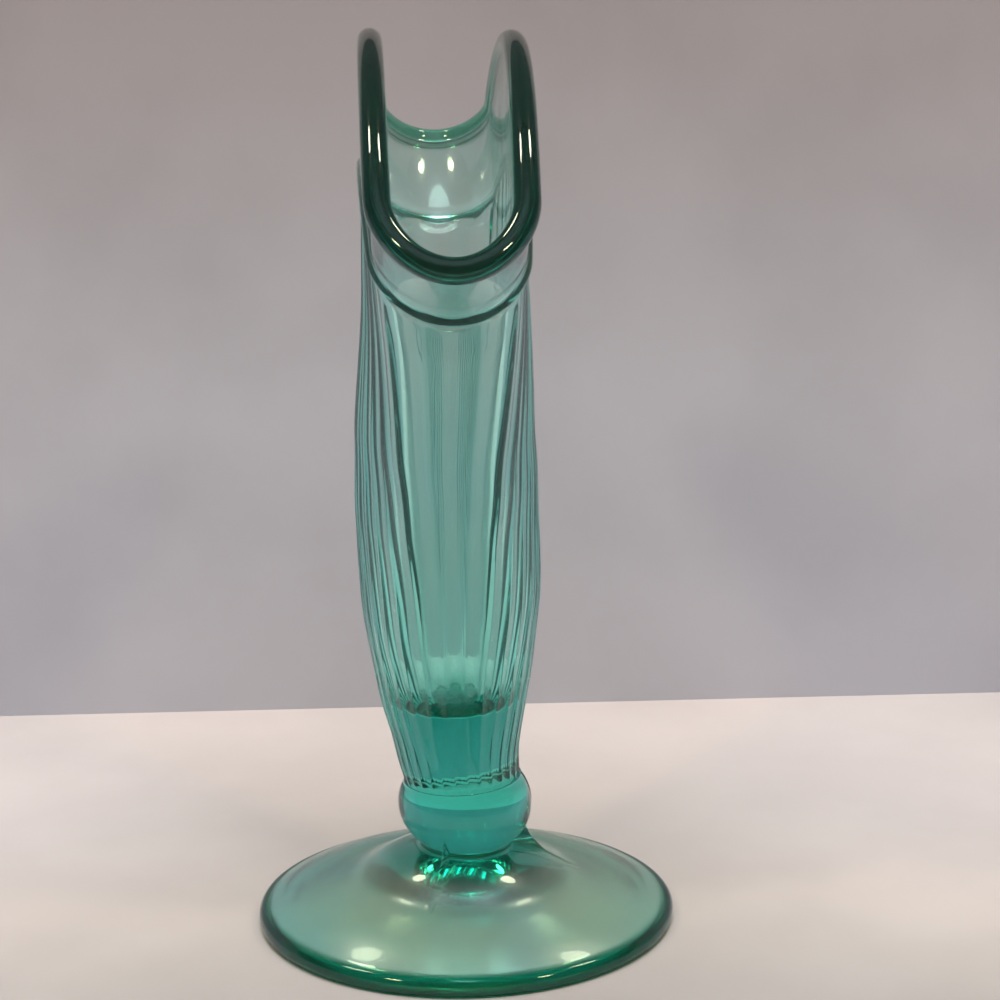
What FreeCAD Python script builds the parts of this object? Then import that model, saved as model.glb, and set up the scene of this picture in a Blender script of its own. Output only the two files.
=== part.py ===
import FreeCAD, Part
import math
import os
import Sketcher
from FreeCAD import Placement, Rotation, Vector

# A fan vase of pressed glass, in millimetres.
# Z is up, X runs along the wide way of the fan and Y is its thin way.
# The origin is the centre of the foot, on the surface that the vase stands on.
# The real vase is one pressing. The pieces here are the stretches of it that the mould and the finisher
# shape one after another, from the foot up to the rounded rim, and each meets the next face to face.

SIZES = [
    ("foot_radius", 46.0, "outer radius of the round foot"),
    ("foot_edge", 4.2, "height of the foot's rounded edge"),
    ("foot_edge_round", 1.9, "rounding of the foot's edge"),
    ("foot_ring_width", 5.5, "flat ring under the foot that touches the table"),
    ("foot_hollow", 11.0, "rise of the hollow under the foot"),
    ("foot_height", 17.0, "from the table to the neck under the knop"),
    ("foot_boss_radius", 21.0, "radius where the steep boss round the neck begins"),
    ("neck_radius", 10.0, "narrowest place, between the foot and the knop"),
    ("neck_height", 1.2, "straight part of the neck"),
    ("knop_radius", 14.7, "widest radius of the knop"),
    ("knop_height", 14.8, "from the neck to the top of the knop"),
    ("knop_collar", 0.4, "short collar on top of the knop"),
    ("collar_ledge", 0.2, "collar beyond the ends of the flutes"),
    ("bowl_foot_radius", 12.7, "radius of the bowl where it stands on the knop"),
    ("base_height", 18.8, "solid glass between the knop and the floor of the bowl"),
    ("floor_radius", 6.4, "half the width of the bowl's floor"),
    ("belly_half_depth", 19.9, "half the thickness of the bowl at its fullest"),
    ("mouth_half_depth", 15.0, "half the thickness of the mouth, to the centre of the rim bead"),
    ("fan_half_width", 81.0, "from the middle to the rim's tip, to the centre of the rim bead"),
    ("tip_height", 161.6, "height of the rim at the two tips of the fan"),
    ("arch_rise", 32.4, "how much higher the middle of the rim stands than its tips"),
    ("line_half_width", 58.7, "from the middle to the raised line at a tip of the fan"),
    ("band_width", 25.8, "from the centre of the rim bead down to the raised line"),
    ("line_width", 2.1, "width of the raised line round the bowl"),
    ("line_height", 0.9, "how far the raised line stands out"),
    ("strip_width", 1.5, "plain strip between the raised line and the ends of the flutes"),
    ("wall", 3.0, "glass thickness near the rim"),
    ("rim_bead_diameter", 5.4, "thickness of the fire-polished rim"),
    ("seam_thickness", 0.5, "thickness of the fine fin at each joint of the mould"),
    ("seam_height", 0.3, "how far a fin stands out from the knop"),
]
FLUTES = 30
MOULD_PARTS = 3
FIRST_SEAM_DEGREES = 98.0


class Size:
    """A length that keeps both its value and the cell expression that it is bound to."""

    def __init__(self, value, text):
        self.value = value
        self.text = text

    def joined(self, other, sign, value):
        return Size(value, "(%s %s %s)" % (self.text, sign, as_size(other).text))

    def __add__(self, other):
        return self.joined(other, "+", self.value + as_size(other).value)

    def __sub__(self, other):
        return self.joined(other, "-", self.value - as_size(other).value)

    def __mul__(self, other):
        return self.joined(other, "*", self.value * as_size(other).value)

    def __truediv__(self, other):
        return self.joined(other, "/", self.value / as_size(other).value)

    def __rmul__(self, other):
        return as_size(other) * self


def as_size(thing):
    return thing if isinstance(thing, Size) else Size(float(thing), "%.9f" % thing)


doc = FreeCAD.newDocument("fan_vase")
sheet = doc.addObject("Spreadsheet::Sheet", "sizes")
for row, (alias, value, meaning) in enumerate(SIZES, start=1):
    sheet.set("A%d" % row, meaning)
    sheet.set("B%d" % row, str(value))
    sheet.setAlias("B%d" % row, alias)
doc.recompute()


def size(alias):
    return Size(float(sheet.get(alias)), "sizes." + alias)


NOTHING = Size(0.0, "0")

foot_radius = size("foot_radius")
foot_edge = size("foot_edge")
foot_edge_round = size("foot_edge_round")
foot_height = size("foot_height")
foot_boss_radius = size("foot_boss_radius")
neck_radius = size("neck_radius")
neck_height = size("neck_height")
knop_radius = size("knop_radius")
knop_collar = size("knop_collar")
bowl_foot_radius = size("bowl_foot_radius")
seam_height = size("seam_height")
knop_bottom = foot_height
bowl_bottom = knop_bottom + neck_height + size("knop_height")


def new_body(label):
    body = doc.addObject("PartDesign::Body", label)
    body.Label = label
    return body


def origin_plane(body, role):
    return [plane for plane in body.Origin.OriginFeatures if plane.Role == role][0]


def new_sketch(body, name, role):
    sketch = body.newObject("Sketcher::SketchObject", name)
    sketch.AttachmentSupport = (origin_plane(body, role), [""])
    sketch.MapMode = "FlatFace"
    return sketch


def pin(sketch, geometry, which, across, up):
    """Tie one point of a sketch to its place, measured from the sketch's origin."""
    for kind, place, axis in (("DistanceX", across, -2), ("DistanceY", up, -1)):
        if place is NOTHING:
            sketch.addConstraint(Sketcher.Constraint("PointOnObject", geometry, which, axis))
            continue
        index = sketch.addConstraint(Sketcher.Constraint(kind, -1, 1, geometry, which, place.value))
        sketch.setExpression("Constraints[%d]" % index, place.text)


def point_of(place):
    return Vector(place[0].value, place[1].value, 0)


def draw_outline(sketch, corners, bows):
    """A closed outline of lines and arcs. bows gives, for a corner's number, a place that the stretch from
    that corner to the next passes through."""
    count = len(corners)
    for number in range(count):
        start = point_of(corners[number])
        end = point_of(corners[(number + 1) % count])
        if number in bows:
            sketch.addGeometry(Part.Arc(start, point_of(bows[number]), end), False)
        else:
            sketch.addGeometry(Part.LineSegment(start, end), False)
    turned = [number in bows and not starts_first(sketch, number, corners[number]) for number in range(count)]
    for number in range(count):
        after = (number + 1) % count
        end_point = 1 if turned[number] else 2
        start_point = 2 if turned[after] else 1
        sketch.addConstraint(Sketcher.Constraint("Coincident", number, end_point, after, start_point))
    for number in range(count):
        pin(sketch, number, 2 if turned[number] else 1, *corners[number])
    for number, place in bows.items():
        marker = sketch.addGeometry(Part.Point(point_of(place)), True)
        pin(sketch, marker, 1, *place)
        sketch.addConstraint(Sketcher.Constraint("PointOnObject", marker, 1, number))


def starts_first(sketch, number, corner):
    """An arc keeps its own sense of turning, so its first point may be the outline's second."""
    first = sketch.getPoint(number, 1)
    last = sketch.getPoint(number, 2)
    return first.distanceToPoint(point_of(corner)) < last.distanceToPoint(point_of(corner))


def revolved(label, corners, bows):
    """A piece turned round the vase's upright axis from an outline of radii and heights."""
    body = new_body(label)
    sketch = new_sketch(body, label + "_outline", "XZ_Plane")
    draw_outline(sketch, corners, bows)
    turning = body.newObject("PartDesign::Revolution", label + "_turning")
    turning.Profile = sketch
    turning.ReferenceAxis = (sketch, ["V_Axis"])
    turning.Angle = 360.0
    return body


# The foot: a disc with a rounded edge and a hollow underside, domed in two steps up to the neck.
# Each place on the dome is a share of the way from its inner radius out and a share of the dome's rise.
FLARE_BOW_SHARES = (0.60, 0.268)
FLARE_TOP_SHARES = (0.26, 0.435)
BOSS_BOW_SHARES = (0.11, 0.515)
BOSS_TOP_SHARES = (1.0, 0.64)
SHOULDER_BOW_SHARES = (0.53, 0.86)
HOLLOW_BOW_SHARES = (0.5, 0.77)
ROUND_BOW_SHARE = 1 - math.sqrt(0.5)

edge_inside = foot_radius - foot_edge_round
ring_inside = edge_inside - size("foot_ring_width")
hollow = size("foot_hollow")
edge_bow = foot_edge_round * ROUND_BOW_SHARE


def on_dome(inner, outer, shares):
    return (inner + (outer - inner) * shares[0], foot_edge + (foot_height - foot_edge) * shares[1])


foot = revolved(
    "foot",
    [
        (NOTHING, hollow),
        (ring_inside, NOTHING),
        (edge_inside, NOTHING),
        (foot_radius, foot_edge_round),
        (foot_radius, foot_edge - foot_edge_round),
        (edge_inside, foot_edge),
        on_dome(foot_boss_radius, foot_radius, FLARE_TOP_SHARES),
        on_dome(neck_radius, foot_boss_radius, BOSS_TOP_SHARES),
        (neck_radius, foot_height),
        (NOTHING, foot_height),
    ],
    {
        0: (ring_inside * HOLLOW_BOW_SHARES[0], hollow * HOLLOW_BOW_SHARES[1]),
        2: (foot_radius - edge_bow, edge_bow),
        4: (foot_radius - edge_bow, foot_edge - edge_bow),
        5: on_dome(foot_boss_radius, foot_radius, FLARE_BOW_SHARES),
        6: on_dome(foot_boss_radius, foot_radius, BOSS_BOW_SHARES),
        7: on_dome(neck_radius, foot_boss_radius, SHOULDER_BOW_SHARES),
    },
)

# The knop: a short neck, a full round bulge and a low collar with a ledge round the ends of the flutes.
KNOP_FOOT_SHARES = (0.22, 0.07)
KNOP_WIDEST_SHARE = 0.57
collar_radius = bowl_foot_radius + size("collar_ledge")
bulge_bottom = knop_bottom + neck_height
bulge_top = bowl_bottom - knop_collar
bulge_foot = (
    neck_radius + (knop_radius - neck_radius) * KNOP_FOOT_SHARES[0],
    bulge_bottom + (bulge_top - bulge_bottom) * KNOP_FOOT_SHARES[1],
)
bulge_widest = (knop_radius, bulge_bottom + (bulge_top - bulge_bottom) * KNOP_WIDEST_SHARE)

knop = revolved(
    "knop",
    [
        (NOTHING, knop_bottom),
        (neck_radius, knop_bottom),
        (neck_radius, bulge_bottom),
        bulge_foot,
        (collar_radius, bulge_top),
        (collar_radius, bowl_bottom),
        (NOTHING, bowl_bottom),
    ],
    {3: bulge_widest},
)


# The bowl. It was pressed round and then squeezed and flared into a fan, so what was level on it is now an
# arch: each row round the bowl is an oval seen from above and an arch, high in the middle, from the front.
wall = size("wall").value
fan_half_width = size("fan_half_width").value
mouth_half_depth = size("mouth_half_depth").value
belly_half_depth = size("belly_half_depth").value
line_half_width = size("line_half_width").value
line_width = size("line_width").value
line_height = size("line_height").value
strip_width = size("strip_width").value
floor_radius = size("floor_radius").value
tip_height = size("tip_height").value
arch_rise = size("arch_rise").value
start_radius = bowl_foot_radius.value
foot_of_bowl = bowl_bottom.value
floor_height = foot_of_bowl + size("base_height").value
outer_mouth_half_depth = mouth_half_depth + wall / 2

# From the flutes' ends up to the rim the arches are parts of circles round one centre.
arch_radius = (fan_half_width ** 2 + arch_rise ** 2) / (2 * arch_rise)
arch_centre = tip_height + arch_rise - arch_radius
line_radius = arch_radius - size("band_width").value
line_bottom_radius = line_radius - line_width / 2
line_top_radius = line_radius + line_width / 2

# Where an oval's tight end curve turns into its long side curve, as a share of a right angle.
FOOT_CORNER_SHARE = 0.50
FLOOR_CORNER_SHARE = 0.52
FLUTE_END_CORNER_SHARE = 0.95
LINE_CORNER_SHARE = 0.955
RIM_CORNER_SHARE = 0.985
# The power that spreads the flutes towards the tips, where the fan was stretched most.
TOP_SPREAD_SHARE = 1.34
# Solid glass below the floor. Shares of the half width from the bowl's foot to the line, and of the half
# depth from the bowl's foot to the belly; then, for the row in its middle, shares of the way to the floor.
FLOOR_OUT_SHARES = (0.130, 0.486)
BASE_OUT_SHARES = (0.41, 0.40)
# Rows between the bowl's floor and the flutes' ends. Each holds shares: of the height at the tips, of the
# whole arch's rise, of the half width from the bowl's foot to the line, of the half depth (from the bowl's
# foot to the belly, or over the belly from the mouth to the belly), the corner, the power that spreads the
# flutes, and the glass thickness over the wall's.
ROW_SHARES = [
    (0.100, 0.05, 0.223, 0.73, 0.56, 1.01, 1.75),
    (0.223, 0.13, 0.349, 0.95, 0.60, 1.03, 1.65),
    (0.357, 0.24, 0.472, 1.00, 0.66, 1.05, 1.48),
    (0.497, 0.38, 0.587, 0.92, 0.73, 1.09, 1.34),
    (0.637, 0.53, 0.692, 0.70, 0.80, 1.16, 1.24),
    (0.769, 0.69, 0.786, 0.44, 0.865, 1.23, 1.16),
    (0.893, 0.85, 0.871, 0.29, 0.915, 1.30, 1.10),
]
BELLY_ROW = 2
# The floor of the bowl curls up into its walls: shares of the way from the floor to the first row up, and
# of the way out to it.
CURL_SHARES = [(0.12, 0.30), (0.45, 0.66)]
# The deepest part of a flute, as a share of its width, at the bowl's foot and at the flutes' upper ends.
FLUTE_FOOT_SHARE = 0.17
FLUTE_TOP_SHARE = 0.105
# How far the glass leans out at the tips, beside its way up, between the flutes' ends and the line.
LINE_LEAN_SHARE = 0.80
# Half depths over the belly at the flutes' ends and at the line, from the mouth to the belly.
FLUTE_END_DEPTH_SHARE = 0.21
LINE_DEPTH_SHARE = 0.18
# The raised line's rounded outline: shares of its width and of its height.
LINE_BUMP_SHARES = [(0.0, 0.0), (0.12, 0.66), (0.5, 1.0), (0.88, 0.66), (1.0, 0.0)]
# Rows from the line to the rim: shares of the way up the band, of the way out to the tip, of the half
# depth over the mouth's, and the corner.
BAND_SHARES = [(0.25, 0.21, 0.13, 0.962), (0.52, 0.465, 0.07, 0.970), (0.78, 0.74, 0.03, 0.978)]


class Row:
    """A closed line round the bowl, outside or inside the glass."""

    def __init__(self, tip, rise, half_width, half_depth, corner_share, spread=1.0):
        self.tip = tip
        self.rise = rise
        self.half_width = half_width
        self.half_depth = half_depth
        self.corner_share = corner_share
        self.spread = spread
        self.corner = corner_share * math.pi / 2
        slant = (half_width - half_depth) / (math.cos(self.corner) + math.sin(self.corner) - 1)
        self.end_radius = half_width - slant * math.cos(self.corner)
        self.side_radius = self.end_radius + slant

    def height(self, across):
        """The height of the arch at a distance from the middle of the fan."""
        if self.rise == 0:
            return self.tip
        radius = (self.half_width ** 2 + self.rise ** 2) / (2 * self.rise)
        return self.tip + self.rise - radius + math.sqrt(radius ** 2 - across ** 2)

    def lifted(self, flat):
        """A place seen from above, raised onto the arch."""
        return Vector(flat.x, flat.y, self.height(flat.x))

    def place(self, turn):
        """A place seen from above, and the way straight out from it. turn runs from 0 to 4, one for each
        quarter, from the middle of one long side round by the +X tip."""
        turn = turn % 4
        quarter = int(turn)
        share = turn - quarter if quarter % 2 == 0 else 1 - (turn - quarter)
        side_length = self.side_radius * (math.pi / 2 - self.corner)
        travelled = (side_length + self.end_radius * self.corner) * share ** self.spread
        if travelled < side_length:
            facing = math.pi / 2 - travelled / self.side_radius
            centre = Vector(0, self.half_depth - self.side_radius, 0)
            radius = self.side_radius
        else:
            facing = self.corner - (travelled - side_length) / self.end_radius
            centre = Vector(self.half_width - self.end_radius, 0, 0)
            radius = self.end_radius
        outward = Vector(math.cos(facing), math.sin(facing), 0)
        flat = centre + outward * radius
        across = 1 if quarter < 2 else -1
        over = 1 if quarter in (0, 3) else -1
        return Vector(flat.x * across, flat.y * over, 0), Vector(outward.x * across, outward.y * over, 0)

    def point(self, turn):
        return self.lifted(self.place(turn)[0])

    def inside(self, thickness):
        """The row on the inner face of the glass, on the same arch."""
        slope = math.atan2(2 * self.rise, self.half_width)
        half_width = self.half_width - thickness * math.cos(slope)
        tip = self.height(half_width)
        half_depth = self.half_depth - thickness
        return Row(tip, self.tip + self.rise - tip, half_width, half_depth, self.corner_share, self.spread)

    def outside(self, thickness):
        return self.inside(-thickness)

    def wire(self, depth_share=0.0):
        """The row as arcs, one to a flute, each hollowed by a share of its width."""
        step = 4.0 / FLUTES
        arcs = []
        for number in range(FLUTES):
            start = self.point(number * step)
            end = self.point((number + 1) * step)
            middle, outward = self.place((number + 0.5) * step)
            deepest = middle - outward * (start.distanceToPoint(end) * depth_share)
            arcs.append(Part.Arc(start, self.lifted(deepest), end).toShape())
        return Part.Wire(arcs)


def on_circle(radius, half_width, half_depth, corner_share):
    """A row whose arch is part of a circle round the common centre."""
    tip = arch_centre + math.sqrt(radius ** 2 - half_width ** 2)
    return Row(tip, arch_centre + radius - tip, half_width, half_depth, corner_share, TOP_SPREAD_SHARE)


def between(low, high, share):
    return low + (high - low) * share


def over_belly(share):
    return between(outer_mouth_half_depth, belly_half_depth, share)


def out_to_line(share):
    return between(start_radius, line_half_width, share)


def out_to_belly(share):
    return between(start_radius, belly_half_depth, share)


foot_row = Row(foot_of_bowl, 0, start_radius, start_radius, FOOT_CORNER_SHARE)
floor_row = Row(
    floor_height, 0, out_to_line(FLOOR_OUT_SHARES[0]), out_to_belly(FLOOR_OUT_SHARES[1]), FLOOR_CORNER_SHARE
)
base_row = Row(
    (foot_of_bowl + floor_height) / 2,
    0,
    between(foot_row.half_width, floor_row.half_width, BASE_OUT_SHARES[0]),
    between(foot_row.half_depth, floor_row.half_depth, BASE_OUT_SHARES[1]),
    FOOT_CORNER_SHARE,
)
line_lean = line_width / 2 * LINE_LEAN_SHARE
line_half_depth = over_belly(LINE_DEPTH_SHARE)
line_bottom_row = on_circle(
    line_bottom_radius, line_half_width - line_lean, line_half_depth, LINE_CORNER_SHARE
)
line_top_row = on_circle(
    line_top_radius, line_half_width + line_lean, line_half_depth, LINE_CORNER_SHARE
)
flute_end_row = on_circle(
    line_bottom_radius - strip_width,
    line_bottom_row.half_width - strip_width * LINE_LEAN_SHARE,
    over_belly(FLUTE_END_DEPTH_SHARE),
    FLUTE_END_CORNER_SHARE,
)
rim_row = on_circle(arch_radius, fan_half_width, mouth_half_depth, RIM_CORNER_SHARE)

middle_rows = []
inner_rows = []
for number, (up, rise, out, depth, corner, spread, thickness) in enumerate(ROW_SHARES):
    row = Row(
        between(floor_height, flute_end_row.tip, up),
        flute_end_row.rise * rise,
        out_to_line(out),
        out_to_belly(depth) if number <= BELLY_ROW else over_belly(depth),
        corner,
        spread,
    )
    middle_rows.append(row)
    inner_rows.append(row.inside(wall * thickness))
fluted_rows = [floor_row] + middle_rows + [flute_end_row]

cavity_floor = Row(floor_height, 0, floor_radius, floor_radius, FLOOR_CORNER_SHARE)
first_inner = inner_rows[0]
curl_rows = [
    Row(
        between(floor_height, first_inner.tip, up),
        first_inner.rise * up,
        between(floor_radius, first_inner.half_width, out),
        between(floor_radius, first_inner.half_depth, out),
        between(FLOOR_CORNER_SHARE, first_inner.corner_share, up),
    )
    for up, out in CURL_SHARES
]


def fluted_wire(row):
    """Flutes are deepest for their width at the bowl's foot."""
    risen = (row.tip - foot_row.tip) / (flute_end_row.tip - foot_row.tip)
    return row.wire(between(FLUTE_FOOT_SHARE, FLUTE_TOP_SHARE, risen))


def skin(wires, straight):
    """The surface through a run of rows: smooth, or straight from each row to the next."""
    return Part.makeLoft(wires, False, straight).Faces


def seat(outer_wire, inner_wire):
    """The ring between an outer and an inner row, where one stretch of the bowl meets the next."""
    return [Part.makeRuledSurface(outer, inner) for outer, inner in zip(outer_wire.Edges, inner_wire.Edges)]


def shaped(label, shape):
    piece = doc.addObject("Part::Feature", label)
    piece.Label = label
    piece.Shape = shape
    return piece


def glass_ring(label, outer_wires, inner_wires, straight=False):
    """A stretch of the bowl's wall, between the rows on its outside and those on its inside."""
    faces = skin(outer_wires, straight) + skin(inner_wires, straight)
    faces += seat(outer_wires[0], inner_wires[0])
    faces += seat(outer_wires[-1], inner_wires[-1])
    shell = Part.Shell(faces)
    shell.sewShape()
    solid = Part.Solid(shell)
    if solid.Volume < 0:
        solid.reverse()
    return shaped(label, solid)


# Solid fluted glass under the bowl's floor.
base_wires = [fluted_wire(row) for row in (foot_row, base_row, floor_row)]
bowl_base = shaped("bowl_base", Part.makeLoft(base_wires, True, False))

# The fluted wall, smooth inside, from the floor to the flutes' upper ends.
flute_end_inside = flute_end_row.inside(wall)
ribbed_bowl = glass_ring(
    "ribbed_bowl",
    [fluted_wire(row) for row in fluted_rows],
    [row.wire() for row in [cavity_floor] + curl_rows + inner_rows + [flute_end_inside]],
)

# The raised line, with the plain strip under it.
line_wires = [flute_end_row.wire()]
for along, out in LINE_BUMP_SHARES:
    row = on_circle(
        between(line_bottom_radius, line_top_radius, along),
        between(line_bottom_row.half_width, line_top_row.half_width, along),
        line_half_depth,
        LINE_CORNER_SHARE,
    )
    line_wires.append(row.outside(line_height * out).wire())
raised_line = glass_ring(
    "raised_line",
    line_wires,
    [row.wire() for row in (flute_end_inside, line_bottom_row.inside(wall), line_top_row.inside(wall))],
    straight=True,
)

# The plain band between the raised line and the rim.
rim_outside = rim_row.outside(wall / 2)
band_rows = [line_top_row]
for up, out, depth, corner in BAND_SHARES:
    band_rows.append(on_circle(
        between(line_top_radius, arch_radius, up),
        between(line_top_row.half_width, rim_outside.half_width, out),
        over_belly(depth),
        corner,
    ))
band_rows.append(rim_outside)
band_glass = glass_ring(
    "band_glass",
    [row.wire() for row in band_rows],
    [row.inside(wall).wire() for row in band_rows],
)

# The rim bead, round in section, drawn along the rim as arcs that join smoothly. The shares are of a
# quarter's turn, close together at the tight curve round the tip.
RIM_TURN_SHARES = [0.0, 0.45, 0.75, 0.86, 0.93]
HEADING_STEP_SHARE = 0.001


def rim_heading(turn):
    return (rim_row.point(turn + HEADING_STEP_SHARE) - rim_row.point(turn - HEADING_STEP_SHARE)).normalize()


def arc_between(start, corner, end):
    """The arc from start to end whose end tangents meet at corner."""
    weight = start.distanceToPoint(end) / start.distanceToPoint(corner)
    middle = (start + corner * weight + end) * (1 / (2 + weight))
    return Part.Arc(start, middle, end).toShape()


def two_arcs(start, start_heading, end, end_heading):
    """Two arcs that leave and arrive along the headings and join smoothly between."""
    gap = end - start
    both = start_heading + end_heading
    bend = 2 * (1 - start_heading.dot(end_heading))
    reach = (math.sqrt(gap.dot(both) ** 2 + bend * gap.dot(gap)) - gap.dot(both)) / bend
    first_corner = start + start_heading * reach
    second_corner = end - end_heading * reach
    joint = (first_corner + second_corner) * 0.5
    return [arc_between(start, first_corner, joint), arc_between(joint, second_corner, end)]


past_the_tip = [2 - share for share in reversed(RIM_TURN_SHARES[1:])]
half_round = RIM_TURN_SHARES + [1.0] + past_the_tip
rim_turns = half_round + [2 + turn for turn in half_round] + [4.0]
rim_edges = []
for turn, following in zip(rim_turns, rim_turns[1:]):
    rim_edges += two_arcs(
        rim_row.point(turn), rim_heading(turn), rim_row.point(following), rim_heading(following)
    )
bead_circle = Part.Circle(rim_row.point(0), rim_heading(0), size("rim_bead_diameter").value / 2)
bead_section = Part.Wire([bead_circle.toShape()])
rim_bead = shaped("rim_bead", Part.Wire(rim_edges).makePipeShell([bead_section], True, False))


def cut(label, base, tool):
    result = doc.addObject("Part::Cut", label)
    result.Label = label
    result.Base = base
    result.Tool = tool
    return result


plain_band = cut("plain_band", band_glass, rim_bead)

# The fine fins that the joints of the mould leave on the knop and down the foot, with a web in the groove
# of the neck between them. Shares, as above, of the way out and of the rise. Under the dome the blanks
# are cut off by the foot, so their roots stay inside its glass, above the hollow.
SEAM_ROOT_SHARE = 0.2
SEAM_BOTTOM_SHARE = 0.33
SEAM_END_SHARES = (0.20, 0.455)
WEB_BOTTOM_SHARES = (0.745, 0.79)
WEB_BOW_SHARES = (0.51, 1.02)
WEB_TOP_SHARES = (0.68, 0.235)
seam_inside = neck_radius - neck_height * 2
seam_root = hollow + (foot_height - hollow) * SEAM_ROOT_SHARE
seam_bottom = foot_edge + (foot_height - foot_edge) * SEAM_BOTTOM_SHARE
seam_end = on_dome(foot_boss_radius, foot_radius, SEAM_END_SHARES)
web_bottom = on_dome(neck_radius, foot_boss_radius, WEB_BOTTOM_SHARES)
web_bow = on_dome(neck_radius, foot_boss_radius, WEB_BOW_SHARES)
web_top = (
    bulge_foot[0] + (knop_radius - bulge_foot[0]) * WEB_TOP_SHARES[0],
    bulge_bottom + (bulge_top - bulge_bottom) * WEB_TOP_SHARES[1],
)

seam_body = new_body("seam_blanks")
seam_body.AllowCompound = True
seam_sketch = new_sketch(seam_body, "seam_outline", "XZ_Plane")
draw_outline(
    seam_sketch,
    [
        (seam_inside, seam_root),
        (seam_end[0], seam_bottom),
        seam_end,
        web_bottom,
        web_top,
        (collar_radius + seam_height, bulge_top),
        (seam_inside, bulge_top),
    ],
    {3: web_bow, 4: (knop_radius + seam_height, bulge_widest[1])},
)
seam_pad = seam_body.newObject("PartDesign::Pad", "seam_pad")
seam_pad.Profile = seam_sketch
seam_pad.setExpression("Length", size("seam_thickness").text)
seam_pad.Midplane = True
doc.recompute()
seam_pattern = seam_body.newObject("PartDesign::PolarPattern", "seam_pattern")
seam_pattern.Originals = [seam_pad]
seam_pattern.Axis = (seam_sketch, ["V_Axis"])
seam_pattern.Occurrences = MOULD_PARTS
seam_body.Tip = seam_pattern
seam_body.Placement = Placement(Vector(), Rotation(Vector(0, 0, 1), FIRST_SEAM_DEGREES))
mould_seams = cut("mould_seams", cut("seam_clear_of_knop", seam_body, knop), foot)

NODES = [foot, knop, bowl_base, ribbed_bowl, raised_line, plain_band, rim_bead, mould_seams]

doc.recompute()
faults = [thing.Label for thing in doc.Objects if "Invalid" in thing.State or "Error" in thing.State]
faults += [node.Label for node in NODES if node.Shape.isNull() or not node.Shape.isValid()]
if faults:
    raise RuntimeError("these did not come out: " + ", ".join(faults))

os.makedirs("parts", exist_ok=True)
for node in NODES:
    node.Shape.exportStep("parts/%s.step" % node.Label)
    box = node.Shape.optimalBoundingBox(True, False)
    print("%-12s solids %d, faces %3d, volume %8.1f, from z %6.2f to %6.2f, half width %5.2f" % (
        node.Label, len(node.Shape.Solids), len(node.Shape.Faces), node.Shape.Volume,
        box.ZMin, box.ZMax, box.XMax,
    ))
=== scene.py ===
# %% [markdown]
# # A fan vase of pressed green glass
#
# The vase was pressed in a three-part mould: a round foot, a knop, and a fluted bowl with a raised line
# round it. While the glass was still soft, the bowl was squeezed flat and flared into a fan, and the rim
# was polished in the fire. Last came a lustre, a film of metal thinner than a soap bubble's skin.
#
# The construction is settled in the frame that is loaded here. This lesson makes what the frame can't
# show: one unbroken skin of glass, its colour, its lustre, and the light it stands in.

# %% Load the frame
import math

import bpy
import numpy as np
from mathutils import Matrix, Vector


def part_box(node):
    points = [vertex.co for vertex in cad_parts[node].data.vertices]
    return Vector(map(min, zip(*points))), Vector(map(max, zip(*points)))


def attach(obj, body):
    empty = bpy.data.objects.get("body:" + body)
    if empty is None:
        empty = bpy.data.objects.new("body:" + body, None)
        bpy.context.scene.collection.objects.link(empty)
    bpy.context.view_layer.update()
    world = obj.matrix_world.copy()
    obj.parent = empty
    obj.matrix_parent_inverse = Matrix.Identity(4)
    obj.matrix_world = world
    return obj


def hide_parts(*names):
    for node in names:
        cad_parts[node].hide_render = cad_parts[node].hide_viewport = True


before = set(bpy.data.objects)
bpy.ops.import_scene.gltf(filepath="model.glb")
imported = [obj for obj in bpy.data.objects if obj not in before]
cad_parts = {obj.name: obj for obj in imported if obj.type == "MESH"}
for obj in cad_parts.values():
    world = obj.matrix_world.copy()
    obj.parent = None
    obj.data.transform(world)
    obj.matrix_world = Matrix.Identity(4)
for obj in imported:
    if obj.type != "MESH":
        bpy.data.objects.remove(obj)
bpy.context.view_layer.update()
print("nodes in the frame:", sorted(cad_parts))

# %% [markdown]
# ## Sizes
#
# A maker thinks of a vase in millimetres, so the lesson does too, and the mesh is turned into metres once,
# when it is built. What the frame can tell is read from its boxes. The rest is written down by name.

# %% Read the main sizes from the frame
MM = 0.001


def low_corner(node):
    return np.array(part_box(node)[0]) / MM


def high_corner(node):
    return np.array(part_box(node)[1]) / MM


BEAD_RADIUS = 2.7
WALL = 3.0
foot_radius, _, foot_height = high_corner("foot")
bowl_bottom = high_corner("knop")[2]
floor_height = high_corner("bowl_base")[2]
belly_half_depth = high_corner("ribbed_bowl")[1]
fan_half_width = high_corner("rim_bead")[0] - BEAD_RADIUS
mouth_half_depth = high_corner("rim_bead")[1] - BEAD_RADIUS
tip_height = low_corner("rim_bead")[2] + BEAD_RADIUS
arch_rise = high_corner("rim_bead")[2] - BEAD_RADIUS - tip_height
print("foot %.1f mm in radius, fan %.1f mm wide, tips %.1f mm high" % (
    foot_radius, 2 * fan_half_width, tip_height))

# %% [markdown]
# ## Columns round the vase
#
# The skin is a grid: rings that lie one above the other, and columns that run up the outside, over the rim
# and down the inside. Every ring has a point on every column, so the grid closes without a seam. There are
# thirty flutes. The ridges between them are rounded off, and refraction shows how well, so the columns
# stand closer together near a ridge than in a hollow.

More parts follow.
